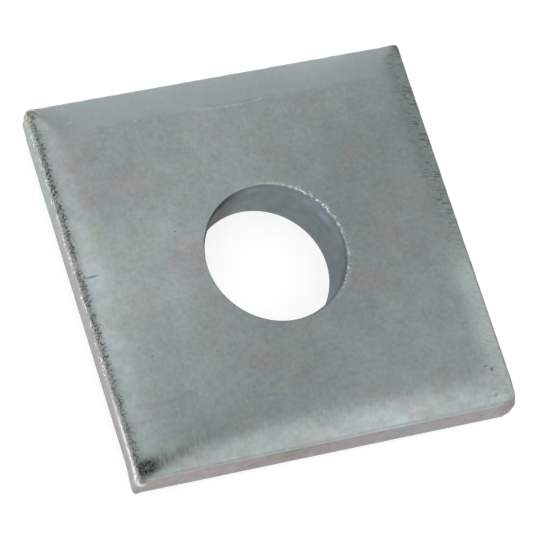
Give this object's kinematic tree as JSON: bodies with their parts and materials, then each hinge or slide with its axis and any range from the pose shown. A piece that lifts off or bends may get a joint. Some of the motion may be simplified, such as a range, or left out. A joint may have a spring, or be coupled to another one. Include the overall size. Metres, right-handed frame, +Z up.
{
  "type": "square plate washer",
  "caption": "Thick square steel plate washer with a round punched hole, rolled upper edges and a bright zinc finish, to spread a bolt's load.",
  "frame": {"origin": "on the underside, on the hole's axis, at the middle of the plate", "axes": "+Z up along the hole, out of the face with the rolled edges; X and Y square to the sides, -Y is the front"},
  "size_m": [0.04, 0.04, 0.006],
  "materials": {
    "zinc_plate": "satin bright zinc plate with faint coloured tints"
  },
  "bodies": {
    "root": {"plate_washer": "zinc_plate"}
  },
  "joints": []
}
